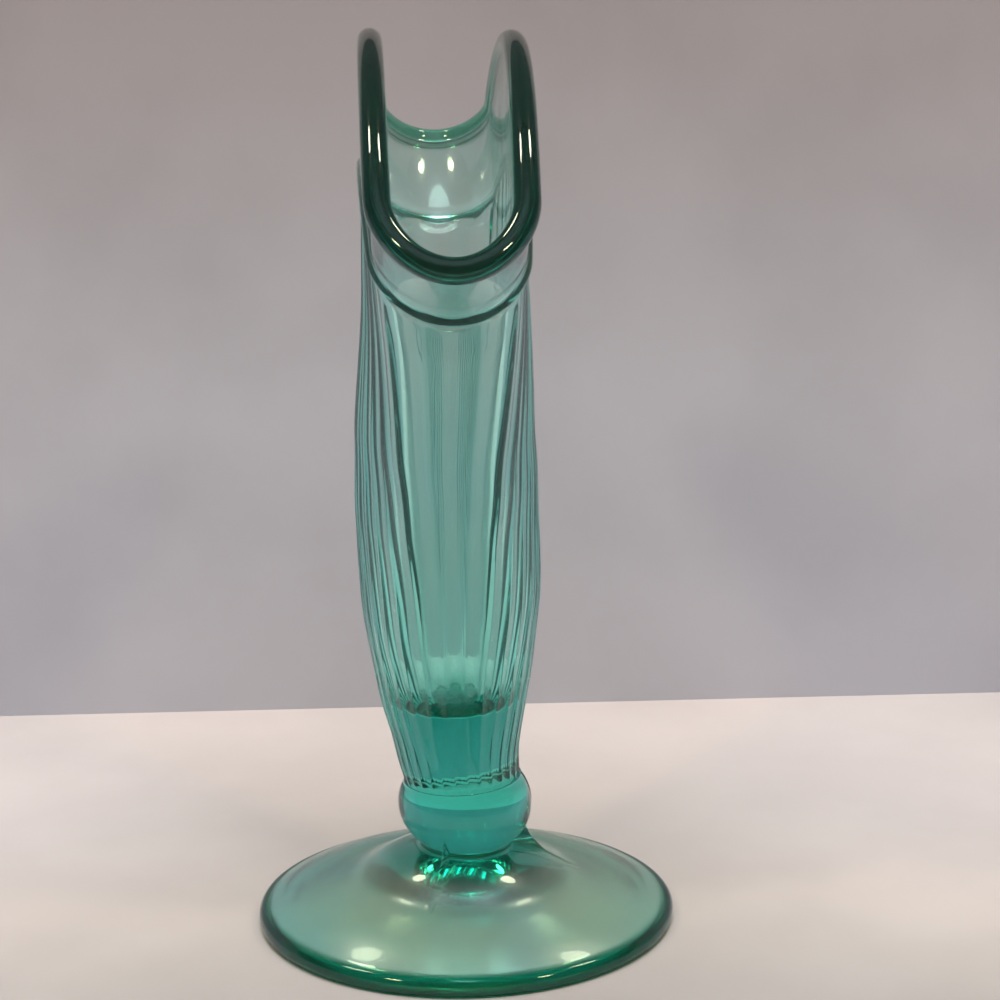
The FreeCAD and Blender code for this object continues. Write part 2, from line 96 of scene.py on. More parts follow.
# %% Number the columns
FLUTES = 30
ACROSS_FLUTE = [
    0, 0.02, 0.05, 0.1, 0.165, 0.245, 1 / 3, 0.415,
    0.5, 0.585, 2 / 3, 0.755, 0.835, 0.9, 0.95, 0.98,
]
FLUTE_COLUMNS = len(ACROSS_FLUTE)
COLUMNS = FLUTES * FLUTE_COLUMNS
across_flute = np.tile(ACROSS_FLUTE, FLUTES)
turns = (np.repeat(np.arange(FLUTES), FLUTE_COLUMNS) + across_flute) * 4 / FLUTES
quarter = turns.astype(int)
share_of_quarter = np.where(quarter % 2 == 0, turns - quarter, 1 - (turns - quarter))
sign_x = np.where(quarter < 2, 1.0, -1.0)
sign_y = np.where((quarter == 0) | (quarter == 3), 1.0, -1.0)
RIDGE_SHARE = 0.18
from_middle = np.abs(2 * across_flute - 1)
rounded = RIDGE_SHARE + (1 - RIDGE_SHARE) / RIDGE_SHARE * (1 - from_middle) ** 2
flute_hollow = np.where(from_middle < 1 - RIDGE_SHARE, 1 - from_middle ** 2, rounded)
print(COLUMNS, "columns")

# %% [markdown]
# ## A row of the squeezed bowl
#
# Squeezing turned each level circle of the bowl into an oval, and flaring bent that oval up into an arch.
# An ellipse would be too pointed at the tips. Two sizes of arc, which meet smoothly, give the blunt ends
# and long flat sides of the real one. The flutes were stretched most at the tips, so a power of the
# distance along the oval spreads them there.


# %% Define a row
class Row:
    """A closed line round the bowl: an oval seen from above, an arch seen from the front."""

    def __init__(self, tip, rise, half_width, half_depth, corner_share, spread=1.0):
        self.tip, self.rise, self.spread = tip, rise, spread
        self.half_width, self.half_depth = half_width, half_depth
        self.corner_share = corner_share
        self.corner = corner_share * math.pi / 2
        slant = (half_width - half_depth) / (math.cos(self.corner) + math.sin(self.corner) - 1)
        self.end_radius = half_width - slant * math.cos(self.corner)
        self.side_radius = self.end_radius + slant

    def height(self, across):
        if self.rise == 0:
            return self.tip + 0 * across
        radius = (self.half_width ** 2 + self.rise ** 2) / (2 * self.rise)
        return self.tip + self.rise - radius + np.sqrt(radius ** 2 - across ** 2)

    def flat(self):
        """The row seen from above, and the way straight out from it, at every column."""
        side = self.side_radius * (math.pi / 2 - self.corner)
        travelled = (side + self.end_radius * self.corner) * share_of_quarter ** self.spread
        on_side = travelled < side
        on_end_facing = self.corner - (travelled - side) / self.end_radius
        facing = np.where(on_side, math.pi / 2 - travelled / self.side_radius, on_end_facing)
        radius = np.where(on_side, self.side_radius, self.end_radius)
        x = np.where(on_side, 0, self.half_width - self.end_radius) + radius * np.cos(facing)
        y = np.where(on_side, self.half_depth - self.side_radius, 0) + radius * np.sin(facing)
        outward = np.stack([np.cos(facing) * sign_x, np.sin(facing) * sign_y], 1)
        return np.stack([x * sign_x, y * sign_y], 1), outward

    def inside(self, thickness):
        """The row on the inner face of the glass, on the same arch."""
        slope = math.atan2(2 * self.rise, self.half_width)
        half_width = self.half_width - thickness * math.cos(slope)
        tip = float(self.height(half_width))
        half_depth = self.half_depth - thickness
        rise = self.tip + self.rise - tip
        return Row(tip, rise, half_width, half_depth, self.corner_share, self.spread)

    def ring(self, flute_share=0.0):
        """A point on every column. Flutes are hollowed by a share of their own width."""
        place, outward = self.flat()
        ridges = place[::FLUTE_COLUMNS]
        widths = np.linalg.norm(np.roll(ridges, -1, 0) - ridges, axis=1)
        depth = np.repeat(widths, FLUTE_COLUMNS) * flute_share * flute_hollow
        place = place - outward * depth[:, None]
        return np.column_stack([place, self.height(place[:, 0])])


def between(low, high, share):
    return low + (high - low) * share


print("a round row of radius 10 starts at", Row(0, 0, 10, 10, 0.5).ring()[0])

# %% [markdown]
# ## Rows of the bowl, from its foot to the rim
#
# From the raised line up, all arches are parts of circles round one centre, so the plain band is equally
# wide all the way. Below the line the arch flattens until it is gone at the bowl's foot.

# %% Place the rows of the bowl
START_RADIUS = 12.7
LINE_HALF_WIDTH = 58.7
BAND_WIDTH = 25.8
LINE_WIDTH = 2.1
LINE_HEIGHT = 0.9
STRIP_WIDTH = 1.5
FLOOR_RADIUS = 6.4
LINE_LEAN = 0.80
START_CORNER = 0.50
FLOOR_CORNER = 0.52
LINE_CORNER = 0.955
FLUTE_END_CORNER = 0.95
RIM_CORNER = 0.985
LINE_DEPTH_SHARE = 0.18
FLUTE_END_DEPTH_SHARE = 0.21
TOP_SPREAD = 1.34
outer_mouth_half_depth = mouth_half_depth + WALL / 2
arch_radius = (fan_half_width ** 2 + arch_rise ** 2) / (2 * arch_rise)
arch_centre = tip_height + arch_rise - arch_radius
line_low_radius = arch_radius - BAND_WIDTH - LINE_WIDTH / 2
line_high_radius = line_low_radius + LINE_WIDTH


def on_circle(radius, half_width, half_depth, corner_share):
    tip = arch_centre + math.sqrt(radius ** 2 - half_width ** 2)
    return Row(tip, arch_centre + radius - tip, half_width, half_depth, corner_share, TOP_SPREAD)


def over_belly(share):
    return between(outer_mouth_half_depth, belly_half_depth, share)


def out_to_line(share):
    return between(START_RADIUS, LINE_HALF_WIDTH, share)


def out_to_belly(share):
    return between(START_RADIUS, belly_half_depth, share)


line_lean = LINE_WIDTH / 2 * LINE_LEAN
line_half_depth = over_belly(LINE_DEPTH_SHARE)
line_low_row = on_circle(line_low_radius, LINE_HALF_WIDTH - line_lean, line_half_depth, LINE_CORNER)
line_high_row = on_circle(line_high_radius, LINE_HALF_WIDTH + line_lean, line_half_depth, LINE_CORNER)
flute_end_row = on_circle(
    line_low_radius - STRIP_WIDTH,
    line_low_row.half_width - STRIP_WIDTH * LINE_LEAN,
    over_belly(FLUTE_END_DEPTH_SHARE),
    FLUTE_END_CORNER,
)
rim_row = on_circle(arch_radius, fan_half_width, mouth_half_depth, RIM_CORNER)
print("raised line: tips at", round(line_low_row.tip, 1), "mm, arch radius", round(line_low_radius, 1))

# %% [markdown]
# Seven rows shape the fluted wall. Each holds shares of the whole: of the height at the tips, of the
# arch's rise, of the way out to the line, of the half depth (up to the belly, or back from it to the
# mouth), the corner of the oval, the spread of the flutes, and the thickness over the wall's.

# %% Place the rows of the fluted wall
ROW_SHARES = [
    (0.100, 0.05, 0.223, 0.73, 0.56, 1.01, 1.75),
    (0.223, 0.13, 0.349, 0.95, 0.60, 1.03, 1.65),
    (0.357, 0.24, 0.472, 1.00, 0.66, 1.05, 1.48),
    (0.497, 0.38, 0.587, 0.92, 0.73, 1.09, 1.34),
    (0.637, 0.53, 0.692, 0.70, 0.80, 1.16, 1.24),
    (0.769, 0.69, 0.786, 0.44, 0.865, 1.23, 1.16),
    (0.893, 0.85, 0.871, 0.29, 0.915, 1.30, 1.10),
]
BELLY_ROW = 2
FLOOR_WIDTH_SHARE, FLOOR_DEPTH_SHARE = 0.130, 0.486
BASE_WIDTH_SHARE, BASE_DEPTH_SHARE = 0.41, 0.40
foot_row = Row(bowl_bottom, 0, START_RADIUS, START_RADIUS, START_CORNER)
floor_row = Row(
    floor_height,
    0,
    out_to_line(FLOOR_WIDTH_SHARE),
    out_to_belly(FLOOR_DEPTH_SHARE),
    FLOOR_CORNER,
)
base_row = Row(
    (bowl_bottom + floor_height) / 2,
    0,
    between(START_RADIUS, floor_row.half_width, BASE_WIDTH_SHARE),
    between(START_RADIUS, floor_row.half_depth, BASE_DEPTH_SHARE),
    START_CORNER,
)
fluted_rows = [foot_row, base_row, floor_row]
inner_rows = []
for number, (up, rise, out, depth, corner, spread, thickness) in enumerate(ROW_SHARES):
    half_depth = out_to_belly(depth) if number <= BELLY_ROW else over_belly(depth)
    tip = between(floor_height, flute_end_row.tip, up)
    row = Row(tip, flute_end_row.rise * rise, out_to_line(out), half_depth, corner, spread)
    fluted_rows.append(row)
    inner_rows.append(row.inside(WALL * thickness))
fluted_rows.append(flute_end_row)
print(len(fluted_rows), "rows on the outside of the fluted wall")

# %% [markdown]
# ## Smooth rings between the rows
#
# A few rows are enough to describe the shape, but refraction shows every flat facet, so the skin needs
# many rings. A Hermite spline up each column passes through the rows, with slopes taken from the
# neighbours on both sides. A subdivision modifier would also smooth it, but would pull in the ridges.


# %% Define the spline through rings
def smooth_rings(keys, spacing):
    """Rings about a spacing apart, in millimetres, on a smooth path through the key rings."""
    keys = np.array(keys)
    gaps = np.linalg.norm(np.diff(keys, axis=0), axis=2).mean(1)
    chords = np.diff(keys, axis=0) / gaps[:, None, None]
    inner = (chords[1:] * gaps[:-1, None, None] + chords[:-1] * gaps[1:, None, None])
    inner /= (gaps[1:] + gaps[:-1])[:, None, None]
    first = 1.5 * chords[0] - 0.5 * inner[0]
    last = 1.5 * chords[-1] - 0.5 * inner[-1]
    slopes = np.concatenate([first[None], inner, last[None]])
    rings = []
    for number, gap in enumerate(gaps):
        steps = max(2, round(gap / spacing))
        for t in np.arange(steps) / steps:
            start = (1 + 2 * t) * (1 - t) ** 2 * keys[number] + t * (1 - t) ** 2 * gap * slopes[number]
            end = t * t * (3 - 2 * t) * keys[number + 1] + t * t * (t - 1) * gap * slopes[number + 1]
            rings.append(start + end)
    rings.append(keys[-1])
    return np.array(rings)


def smooth_step(values):
    values = np.clip(values, 0, 1)
    return values * values * (3 - 2 * values)


# %% [markdown]
# The flutes run the whole height of the wall and stop just under the raised line. Two families of rings
# are made, one plain and one fluted, and the fluted one fades into the plain one over the last two
# millimetres, as the mould maker's round-nosed tool left it.

# %% Make the fluted wall
RING_SPACING = 1.5
FLUTE_FOOT_SHARE = 0.11
FLUTE_TOP_SHARE = 0.09
FLUTE_FADE = 2.0


def flute_share(row):
    risen = (row.tip - foot_row.tip) / (flute_end_row.tip - foot_row.tip)
    return between(FLUTE_FOOT_SHARE, FLUTE_TOP_SHARE, risen)


plain_wall = smooth_rings([row.ring() for row in fluted_rows], RING_SPACING)
fluted_wall = smooth_rings([row.ring(flute_share(row)) for row in fluted_rows], RING_SPACING)
left_to_end = np.linalg.norm(plain_wall - plain_wall[-1], axis=2).mean(1)
shown = smooth_step(left_to_end / FLUTE_FADE)[:, None, None]
outer_wall = plain_wall + (fluted_wall - plain_wall) * shown
print(len(outer_wall), "rings up the fluted wall")

# %% [markdown]
# ## The foot and the knop
#
# These parts stayed round, so they are a profile of arcs swept round the axis, as on a lathe. Each place
# on the domed foot is a share of the way out from the neck and a share of the way up. An arc through three
# points is the curve that a turner would cut with one sweep of the tool.


# %% Define the arc and the straight
def arc(start, through, end, count):
    """Points on the arc from start to end, without the last."""
    (ax, ay), (bx, by), (cx, cy) = start, through, end
    twice = 2 * (ax * (by - cy) + bx * (cy - ay) + cx * (ay - by))
    a, b, c = ax * ax + ay * ay, bx * bx + by * by, cx * cx + cy * cy
    centre = np.array([
        (a * (by - cy) + b * (cy - ay) + c * (ay - by)) / twice,
        (a * (cx - bx) + b * (ax - cx) + c * (bx - ax)) / twice,
    ])
    angles = [math.atan2(y - centre[1], x - centre[0]) for x, y in (start, through, end)]
    sweep = (angles[2] - angles[0]) % (2 * math.pi)
    if (angles[1] - angles[0]) % (2 * math.pi) > sweep:
        sweep -= 2 * math.pi
    turned = angles[0] + sweep * np.arange(count) / count
    radius = math.hypot(ax - centre[0], ay - centre[1])
    return list(zip(centre[0] + radius * np.cos(turned), centre[1] + radius * np.sin(turned)))


def straight(start, end, count):
    steps = np.arange(count)[:, None] / count
    return [tuple(point) for point in np.array(start) + (np.array(end) - np.array(start)) * steps]


print("an arc starts at", arc((1, 0), (0, 1), (-1, 0), 2)[0])

# %% [markdown]
# The profile starts under the foot, at the top of its hollow, and runs out to the edge, back over the two
# steps of the dome, up the neck and over the knop to the collar.

# %% Name the sizes of the foot and the knop
EDGE_ROUND = 1.9
EDGE_HEIGHT = 4.2
RING_WIDTH = 2.6
HOLLOW = 11.0
HOLLOW_START = 0.4
BOSS_RADIUS = 21.0
NECK_RADIUS = 10.0
NECK_HEIGHT = 1.2
KNOP_RADIUS = 14.7
COLLAR_HEIGHT = 0.4
COLLAR_LEDGE = 0.2
COLLAR_ROUND = 0.12
COLLAR_RADIUS = START_RADIUS + COLLAR_LEDGE
edge_inside = foot_radius - EDGE_ROUND
ring_inside = edge_inside - RING_WIDTH
bow = EDGE_ROUND * (1 - math.sqrt(0.5))
bulge_bottom = foot_height + NECK_HEIGHT
bulge_top = bowl_bottom - COLLAR_HEIGHT
print("the knop bulges from %.1f to %.1f mm" % (bulge_bottom, bulge_top))


# %% Draw the profile of the foot and the knop
def on_dome(inner, outer, out, up):
    return between(inner, outer, out), between(EDGE_HEIGHT, foot_height, up)


flare_top = on_dome(BOSS_RADIUS, foot_radius, 0.26, 0.435)
boss_top = on_dome(NECK_RADIUS, BOSS_RADIUS, 1.0, 0.64)
bulge_foot = (between(NECK_RADIUS, KNOP_RADIUS, 0.22), between(bulge_bottom, bulge_top, 0.07))
bulge_widest = (KNOP_RADIUS, between(bulge_bottom, bulge_top, 0.57))
profile = (
    arc((HOLLOW_START, HOLLOW), (ring_inside * 0.5, HOLLOW * 0.77), (ring_inside, 0.0), 16)
    + straight((ring_inside, 0.0), (edge_inside, 0.0), 3)
    + arc((edge_inside, 0.0), (foot_radius - bow, bow), (foot_radius, EDGE_ROUND), 7)
    + [(foot_radius, EDGE_ROUND)]
    + arc((foot_radius, EDGE_HEIGHT - EDGE_ROUND), (foot_radius - bow, EDGE_HEIGHT - bow),
          (edge_inside, EDGE_HEIGHT), 7)
    + arc((edge_inside, EDGE_HEIGHT), on_dome(BOSS_RADIUS, foot_radius, 0.60, 0.268), flare_top, 14)
    + arc(flare_top, on_dome(BOSS_RADIUS, foot_radius, 0.11, 0.515), boss_top, 7)
    + arc(boss_top, on_dome(NECK_RADIUS, BOSS_RADIUS, 0.53, 0.86), (NECK_RADIUS, foot_height), 12)
    + straight((NECK_RADIUS, foot_height), (NECK_RADIUS, bulge_bottom), 2)
    + straight((NECK_RADIUS, bulge_bottom), bulge_foot, 3)
    + arc(bulge_foot, bulge_widest, (COLLAR_RADIUS, bulge_top), 22)
    + straight((COLLAR_RADIUS, bulge_top), (COLLAR_RADIUS, bowl_bottom - COLLAR_ROUND), 2)
    + [(COLLAR_RADIUS, bowl_bottom - COLLAR_ROUND), (COLLAR_RADIUS - COLLAR_ROUND, bowl_bottom)]
)
profile = np.array(profile)
print(len(profile), "rings from the hollow under the foot to the top of the knop")

# %% [markdown]
# ## The mould's seams
#
# Hot glass creeps into the joints of a mould and leaves fine fins. They show best on the knop and down the
# foot, and in the narrow groove of the neck they fill it with a web. Each fin is one column of the grid,
# pushed out along the profile's normal. A separate thin solid would cross the skin, and crossed glass
# shows false reflections, so the fins are part of the skin.

# %% Push out the seams
SEAM_DEGREES = (-22, 98, 218)
SEAM_HEIGHT = 0.3
SEAM_FOOT_RADIUS = 26.0
SEAM_FADE = 4.0
column_degrees = 90 * (1 - turns)
seam_columns = [int(np.argmin(np.abs((column_degrees - degrees + 180) % 360 - 180)))
                for degrees in SEAM_DEGREES]
web = np.array(arc(
    on_dome(NECK_RADIUS, BOSS_RADIUS, 0.745, 0.79),
    on_dome(NECK_RADIUS, BOSS_RADIUS, 0.51, 1.02),
    (between(bulge_foot[0], KNOP_RADIUS, 0.68), between(bulge_bottom, bulge_top, 0.235)),
    12,
))
along = np.gradient(profile, axis=0)
normals = np.stack([along[:, 1], -along[:, 0]], 1)
normals /= np.linalg.norm(normals, axis=1)[:, None]
on_top = profile[:, 1] > EDGE_HEIGHT
raised = SEAM_HEIGHT * on_top * smooth_step((SEAM_FOOT_RADIUS - profile[:, 0]) / SEAM_FADE)
finned = profile + normals * raised[:, None]
webbed = (profile[:, 1] > web[0, 1]) & (profile[:, 1] < web[-1, 1])
web_radius = np.interp(profile[:, 1], web[:, 1], web[:, 0])
finned[:, 0] = np.where(webbed, np.maximum(finned[:, 0], web_radius), finned[:, 0])
print("a fin is", SEAM_HEIGHT, "mm high and the web reaches %.1f mm out" % web[:, 0].max())

# %% Sweep the profile round the axis
facing = (math.pi / 2) * (1 - turns)
turned_rings = np.empty((len(profile), COLUMNS, 3))
radius = np.repeat(profile[:, :1], COLUMNS, 1)
height = np.repeat(profile[:, 1:], COLUMNS, 1)
radius[:, seam_columns] = finned[:, :1]
height[:, seam_columns] = finned[:, 1:]
turned_rings[..., 0] = radius * np.cos(facing)
turned_rings[..., 1] = radius * np.sin(facing)
turned_rings[..., 2] = height
print("seams on columns", seam_columns)

# %% [markdown]
# ## The raised line and the plain band
#
# The line is a low round bump. Above it the wall is plain and flares out at the tips until it meets the
# rim, which is a round bead a little thicker than the wall.

# %% Make the line and the band
LINE_BUMP = [(0.0, 0.0), (0.12, 0.45), (0.28, 0.86), (0.5, 1.0), (0.72, 0.86), (0.88, 0.45), (1.0, 0.0)]
line_rings = []
for along_line, out in LINE_BUMP:
    row = on_circle(
        between(line_low_radius, line_high_radius, along_line),
        between(line_low_row.half_width, line_high_row.half_width, along_line),
        line_half_depth,
        LINE_CORNER,
    )
    line_rings.append(row.inside(-LINE_HEIGHT * out).ring())

BAND_SHARES = [(0.25, 0.21, 0.13, 0.962), (0.52, 0.465, 0.07, 0.970), (0.78, 0.74, 0.03, 0.978)]
rim_outside = rim_row.inside(-WALL / 2)
band_rows = [line_high_row]
for up, out, depth, corner in BAND_SHARES:
    radius_up = between(line_high_radius, arch_radius, up)
    half_width = between(line_high_row.half_width, rim_outside.half_width, out)
    band_rows.append(on_circle(radius_up, half_width, over_belly(depth), corner))
print(len(line_rings), "rings over the line and", len(band_rows), "rows up the band")

# %% [markdown]
# The bead's circle stands square to the rim at every column. Its upright axis is the way the band climbs
# into the rim, with the part along the rim taken out, and its outward axis is square to both.

# %% Make the rim bead
rim_line = rim_row.ring()
step_ahead = np.roll(rim_line, -1, 0) - rim_line
step_length = np.linalg.norm(step_ahead, axis=1)[:, None]
step_behind, length_behind = np.roll(step_ahead, 1, 0), np.roll(step_length, 1, 0)
rim_heading = step_ahead / step_length * length_behind + step_behind / length_behind * step_length
rim_heading /= np.linalg.norm(rim_heading, axis=1)[:, None]
climb = rim_line - band_rows[-1].inside(WALL / 2).ring()
climb -= rim_heading * np.sum(climb * rim_heading, 1)[:, None]
climb /= np.linalg.norm(climb, axis=1)[:, None]
bead_outward = np.cross(climb, rim_heading)
bead_outward *= np.sign(np.sum(bead_outward[:, :2] * rim_row.flat()[1], 1))[:, None]
BEAD_START = math.radians(-54)
BEAD_STEPS = 24
bead_rings = []
for angle in np.linspace(BEAD_START, math.pi - BEAD_START, BEAD_STEPS):
    bead_rings.append(rim_line + BEAD_RADIUS * (math.cos(angle) * bead_outward + math.sin(angle) * climb))
band_rings = smooth_rings([row.ring() for row in band_rows] + [bead_rings[0]], RING_SPACING)
print(len(band_rings), "rings up the band and", len(bead_rings), "round the bead")

# %% [markdown]
# ## Inside the bowl
#
# The inner face has no flutes, because the plunger that pressed it was smooth. It runs down from the bead,
# past the line, and curls in to a small flat floor over the solid base.

# %% Make the inner face
CURL_SHARES = [(0.40, 0.72), (0.09, 0.36)]
flute_end_inside = flute_end_row.inside(WALL)
first_inner = inner_rows[0]
inner_keys = [bead_rings[-1]]
inner_keys += [row.inside(WALL).ring() for row in reversed(band_rows)]
inner_keys += [flute_end_inside.ring()]
inner_keys += [row.ring() for row in reversed(inner_rows)]
for up, out in CURL_SHARES:
    inner_keys.append(Row(
        between(floor_height, first_inner.tip, up),
        first_inner.rise * up,
        between(FLOOR_RADIUS, first_inner.half_width, out),
        between(FLOOR_RADIUS, first_inner.half_depth, out),
        between(FLOOR_CORNER, first_inner.corner_share, up),
    ).ring())
inner_keys.append(Row(floor_height, 0, FLOOR_RADIUS, FLOOR_RADIUS, FLOOR_CORNER).ring())
inner_rings = smooth_rings(inner_keys, RING_SPACING)
FLOOR_SHARES = (0.75, 0.45, 0.15)
floor_rings = [Row(floor_height, 0, share * FLOOR_RADIUS, share * FLOOR_RADIUS, FLOOR_CORNER).ring()
               for share in FLOOR_SHARES]
print(len(inner_rings), "rings down the inside")

# %% [markdown]
# ## The squeeze
#
# A real fan was squeezed by hand, so it isn't quite even. Seen end on, this one leans to the left above the
# knop by a little over two millimetres, the flutes end on a tilted circle above the collar, and the right
# arm of the rim is lower than the left. A smooth curve through a few shifts moves every point sideways.

# %% Bend the skin a little
BEND_HEIGHTS = [0, 17, 30, 33, 39, 44, 51, 60, 69, 78, 87, 96, 105, 114, 122, 131, 140, 150, 175, 198]
BEND_SHIFTS = [0, 0, 0, -0.3, -1.06, -1.29, -1.68, -1.81, -2.04, -1.95, -2.08, -2.31, -2.22, -2.35,
               -2.05, -1.75, -1.6, -1.7, -1.5, -1.0]
TILT_HEIGHTS = [0, 30, 35, 42, 55, 200]
TILTS = [0, 0, 0.06, 0.04, 0, 0]
ARM_DROP = 0.5
ARM_HEIGHT = 150
ARM_FADE = 40


def eased(height, heights, values):
    """A smooth curve through values at given heights."""
    heights, values = np.array(heights, float), np.array(values, float)
    slopes = np.gradient(values, heights)
    number = np.clip(np.searchsorted(heights, height, "right") - 1, 0, len(heights) - 2)
    gap = heights[number + 1] - heights[number]
    t = np.clip((height - heights[number]) / gap, 0, 1)
    start = (1 + 2 * t) * (1 - t) ** 2 * values[number] + t * (1 - t) ** 2 * gap * slopes[number]
    end = t * t * (3 - 2 * t) * values[number + 1] + t * t * (t - 1) * gap * slopes[number + 1]
    return start + end


def squeezed_by_hand(place):
    bent = place.copy()
    bent[:, 1] += eased(place[:, 2], BEND_HEIGHTS, BEND_SHIFTS)
    bent[:, 2] += eased(place[:, 2], TILT_HEIGHTS, TILTS) * place[:, 1]
    high = smooth_step((place[:, 2] - ARM_HEIGHT) / ARM_FADE)
    bent[:, 2] -= ARM_DROP * (1 + place[:, 1] / mouth_half_depth) * high
    return bent


print("the bend is at most", max(-shift for shift in BEND_SHIFTS), "mm")

# %% [markdown]
# ## One skin
#
# In the frame the vase is eight solids that meet face to face, so that each can be named and measured.
# Rendered like that, every meeting face would be a mirror inside the glass. The real vase is one piece, so
# the rings are joined into one closed skin that stands for all eight.

# %% Stack the rings
rings = np.concatenate([
    turned_rings,
    outer_wall,
    line_rings,
    band_rings[1:-1],
    bead_rings,
    inner_rings[1:],
    floor_rings,
])
first_line_ring = len(profile) + len(outer_wall)
first_bead_ring = first_line_ring + len(line_rings) + len(band_rings) - 2
first_inner_ring = first_bead_ring + len(bead_rings)
print(len(rings), "rings, of which the line starts at", first_line_ring, "and the rim at", first_bead_ring)

# %% [markdown]
# Two numbers ride on every point of the skin, as attributes that the material reads. One says how much
# lustre there is: a lot over the foot, some inside the bowl, little on the outer wall and the rim, and none
# on the foot's rubbed edge or underneath. The other says how much darker green is painted on. It is partly
# for thick glass, where it was gathered thick and rounded on the foot's edge and along the rim. It is partly
# painted shade, for the dark room that the rim gathers and the shaded table seen through the boss under the
# knop.

# %% Say how much lustre each ring has
LUSTRE_INSIDE = 0.30
LUSTRE_OUTSIDE = 0.10
LUSTRE_ON_FOOT = 0.85
LUSTRE_ON_RIM = 0.08
LUSTRE_ON_LINE = 0.40
RUBBED_WIDTH, RUBBED_FADE = 2.0, 1.2
FOOT_LUSTRE_RADIUS, FOOT_LUSTRE_FADE = 12.0, 10.0
BELOW_EDGE = 1.0
line_inside = slice(first_line_ring + 1, first_line_ring + len(line_rings) - 1)
foot_rings = slice(0, len(profile))
bead_slice = slice(first_bead_ring, first_inner_ring)
foot_top = profile[:, 1] < foot_height
ring_lustre = np.full(len(rings), LUSTRE_OUTSIDE)
to_edge = smooth_step((foot_radius - RUBBED_WIDTH - profile[:, 0]) / RUBBED_FADE)
on_foot = smooth_step((profile[:, 0] - FOOT_LUSTRE_RADIUS) / FOOT_LUSTRE_FADE) * foot_top
ring_lustre[foot_rings] = between(LUSTRE_OUTSIDE, LUSTRE_ON_FOOT, on_foot) * to_edge
ring_lustre[foot_rings] *= profile[:, 1] > EDGE_HEIGHT - BELOW_EDGE
ring_lustre[line_inside] = LUSTRE_ON_LINE
ring_lustre[bead_slice] = LUSTRE_ON_RIM
ring_lustre[first_inner_ring:] = LUSTRE_INSIDE
print("lustre from", ring_lustre.min(), "to", ring_lustre.max())

# %% Say how much darker green each ring has painted on, for thick glass and painted shade
# Painted darker green, partly thick glass and partly painted shade: on the rim, the foot's edge and by the
# boss.
RIM_SHADE_AND_THICKNESS = 0.75
BOSS_SHADE_AND_THICKNESS = 0.55
DEEP_EDGE_WIDTH, DEEP_EDGE_FADE = 2.6, 0.8
BOSS_SHADE_RADIUS, BOSS_SHADE_FADE = 20.0, 5.0
ring_thickness_and_shade = np.zeros(len(rings))
ring_thickness_and_shade[foot_rings] = smooth_step((profile[:, 0] - foot_radius + DEEP_EDGE_WIDTH) / DEEP_EDGE_FADE)
# By the boss the painted darker green is partly thick glass and partly painted shade of the table below.
near_boss_shade_share = smooth_step((BOSS_SHADE_RADIUS - profile[:, 0]) / BOSS_SHADE_FADE) * foot_top
ring_thickness_and_shade[foot_rings] += BOSS_SHADE_AND_THICKNESS * near_boss_shade_share
ring_thickness_and_shade[bead_slice] = RIM_SHADE_AND_THICKNESS
print("deep green from", ring_thickness_and_shade.min(), "to", ring_thickness_and_shade.max())

# %% [markdown]
# Each ring is joined to the next with one face for every column, and the two open ends are closed with
# fans of triangles. The bend is the last thing done to the points, as it was to the real vase.

# %% Join the rings into a mesh
points = rings.reshape(-1, 3)
bottom = len(points)
top = bottom + 1
points = squeezed_by_hand(np.concatenate([points, [[0, 0, HOLLOW], [0, 0, floor_height]]])) * MM
faces = []
for ring in range(len(rings) - 1):
    here, above = ring * COLUMNS, (ring + 1) * COLUMNS
    for column in range(COLUMNS):
        beside = (column + 1) % COLUMNS
        faces.append((here + column, above + column, above + beside, here + beside))
last = (len(rings) - 1) * COLUMNS
for column in range(COLUMNS):
    beside = (column + 1) % COLUMNS
    faces.append((bottom, column, beside))
    faces.append((top, last + beside, last + column))

mesh = bpy.data.meshes.new("glass_skin")
mesh.from_pydata(points.tolist(), [], faces)
mesh.validate()
mesh.shade_smooth()
for name, values, ends in (("lustre", ring_lustre, [0, LUSTRE_INSIDE]), ("thickness_and_shade", ring_thickness_and_shade, [0, 0])):
    spread = np.concatenate([np.repeat(values, COLUMNS), ends]).astype(np.float32)
    mesh.attributes.new(name, "FLOAT", "POINT").data.foreach_set("value", spread)
vase = bpy.data.objects.new("glass_skin", mesh)
bpy.context.scene.collection.objects.link(vase)
print(len(mesh.vertices), "points and", len(mesh.polygons), "faces")

# %% [markdown]
# The skin rides on the vase's one body and takes the place of all eight solids, so none of them shows.

# %% Put the skin in place of the frame's glass
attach(vase, "root")
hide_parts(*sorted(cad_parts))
print("the skin stands for", len(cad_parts), "solids")

# %% [markdown]
# ## Writing materials as sums
#
# A material is a graph of nodes. Wired by hand it reads backwards, so one small class wraps a socket and
# lets Python's own operators add the Math nodes. Any other node comes from one method, which takes the
# node's type, its settings and the values or links of its sockets. Colours are mixed by a second method,
# because the Mix node numbers its colour sockets.


